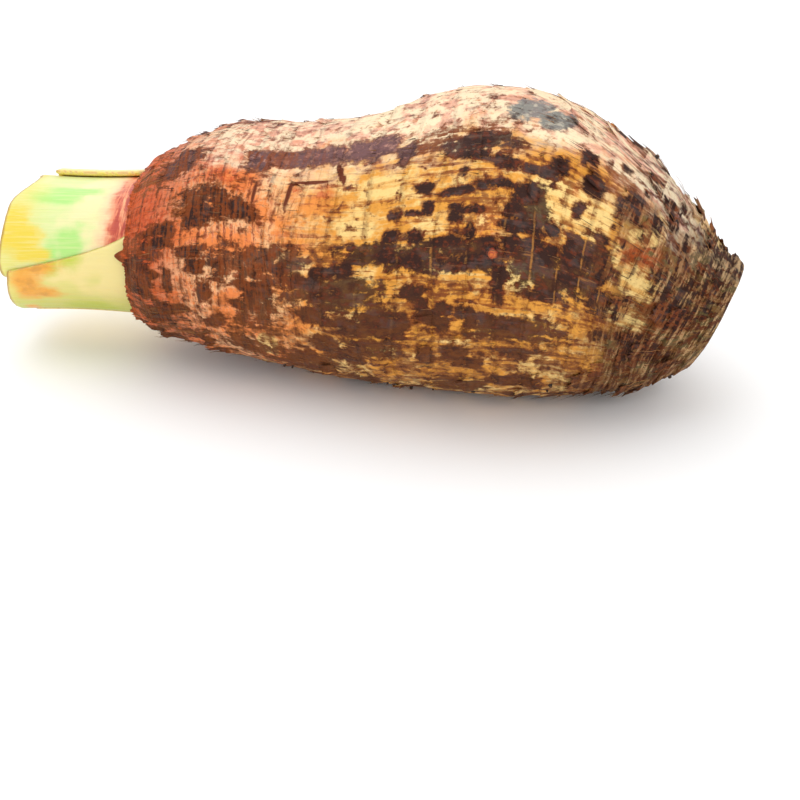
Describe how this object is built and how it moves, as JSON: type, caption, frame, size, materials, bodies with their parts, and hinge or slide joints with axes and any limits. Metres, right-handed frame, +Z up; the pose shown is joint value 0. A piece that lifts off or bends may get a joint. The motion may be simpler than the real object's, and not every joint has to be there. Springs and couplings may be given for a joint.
{
  "type": "taro root",
  "caption": "Whole taro corm lying on its side, ringed brown skin, trimmed green leaf stalks at one end and a cut tail at the other.",
  "frame": {"origin": "on the surface the root lies on, under the middle of its bounding box", "axes": "+X along the root towards its cut tail, -X towards the trimmed leaf stalks, +Z up from the spot it rests on"},
  "size_m": [0.3011, 0.1238, 0.1209],
  "materials": {
    "skin": "dry papery husk, brown over tan, with dark scales and fibres",
    "stalk": "fresh smooth leaf stalk, cream to lime green",
    "heart": "pale green inner stalk, cut across"
  },
  "bodies": {
    "root": {"corm": "skin", "back_stalk": "stalk", "lower_stalk": "stalk", "upper_stalk": "stalk", "inner_stalk": "stalk", "heart_stalk": "heart"}
  },
  "joints": []
}
